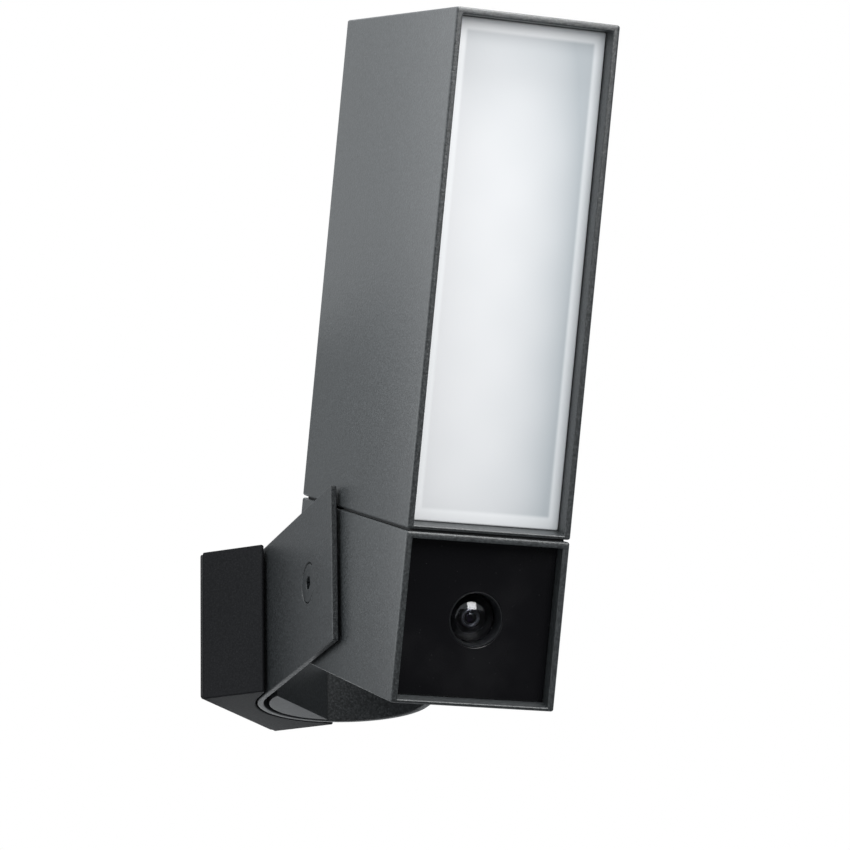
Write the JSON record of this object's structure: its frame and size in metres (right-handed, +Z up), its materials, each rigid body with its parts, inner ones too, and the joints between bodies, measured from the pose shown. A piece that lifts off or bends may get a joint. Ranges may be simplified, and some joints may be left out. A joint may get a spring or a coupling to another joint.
{
  "type": "floodlight security camera",
  "caption": "Slim rectangular wall floodlight with a security camera block under it, on a pan and tilt fork held by a small wall block.",
  "frame": {"origin": "middle of the wall block's back face, on the wall", "axes": "+Y into the wall, +Z up, +X to the right as seen from in front of the wall"},
  "size_m": [0.189, 0.1871, 0.2257],
  "materials": {
    "paint_block": "fine-grained matt powder coat, near-black grey",
    "paint_arm": "fine-grained matt powder coat, dark grey",
    "paint_casing": "fine-grained matt powder coat, dark grey",
    "pivot_paint": "matt powder coat, dark grey",
    "rubber": "matt black",
    "black_nylon": "matt black",
    "zinc_steel": "zinc plated",
    "brass": "satin",
    "white_nylon": "matt",
    "diffuser_frost": "frosted polycarbonate",
    "reflector_white": "matt white",
    "led_board_white": "white solder mask",
    "led_phosphor": "silicone over phosphor",
    "cast_aluminium": "as extruded",
    "circuit_board": "green solder mask",
    "chip_black": "moulded epoxy",
    "black_glass": "polished black",
    "bezel_black": "satin black",
    "lens_glass": "coated optical glass, near black"
  },
  "bodies": {
    "wall_base": {"wall_block": "paint_block", "wall_plate": "zinc_steel", "wall_gasket": "rubber", "plate_screws": "zinc_steel", "terminal_block": "white_nylon", "terminal_screws": "brass", "entry_grommet": "rubber", "clamp_hub": "paint_block", "hub_pad": "rubber", "nest_liner": "rubber", "hub_grommet": "rubber", "clamp_screws": "zinc_steel"},
    "fork": {"fork": "paint_arm", "tilt_washer_left": "black_nylon", "tilt_washer_right": "black_nylon"},
    "head": {"pivot_screw_left": "pivot_paint", "pivot_screw_right": "pivot_paint", "pivot_insert_left": "brass", "pivot_insert_right": "brass", "light_casing": "paint_casing", "diffuser": "diffuser_frost", "diffuser_seal": "rubber", "reflector_tray": "reflector_white", "led_board": "led_board_white", "led_chips": "led_phosphor", "heat_sink": "cast_aluminium", "tray_screws": "zinc_steel", "driver_board": "circuit_board", "driver_parts": "chip_black", "driver_posts": "zinc_steel", "light_rear_cover": "paint_casing", "seam_gasket": "rubber", "neck_tube": "zinc_steel", "neck_nuts": "zinc_steel", "camera_rear_cover": "paint_casing", "rear_cover_screws": "zinc_steel", "camera_casing": "paint_casing", "camera_glass": "black_glass", "glass_seal": "rubber", "lens_bezel": "bezel_black", "lens_dome": "lens_glass", "lens_barrel": "black_nylon", "lens_group": "lens_glass", "filter_frame": "black_nylon", "sensor_board": "circuit_board", "image_sensor": "lens_glass", "ir_board": "circuit_board", "ir_emitters": "chip_black", "main_board": "circuit_board", "main_chips": "chip_black", "card_socket": "zinc_steel", "memory_card": "black_nylon", "card_cover": "paint_casing", "card_cover_screws": "zinc_steel", "antenna": "brass", "microphone": "black_nylon", "lead_gland": "rubber", "gland_seal": "rubber"},
    "ir_filter": {"ir_cut_filter": "lens_glass"}
  },
  "joints": [
    {"name": "pan", "type": "hinge", "parent": "wall_base", "child": "fork", "pos_m": [0, -0.0387, 0], "axis": [0, 0, 1], "range_deg": [-2, 98]},
    {"name": "tilt", "type": "hinge", "parent": "fork", "child": "head", "pos_m": [-0.03902, -0.07383, 0], "axis": [0.6691, -0.7431, 0], "range_deg": [-31, 39]},
    {"name": "filter_slide", "type": "slide", "parent": "head", "child": "ir_filter", "axis": [0.6691, -0.7431, 0], "range_m": [0, 0.007]}
  ]
}
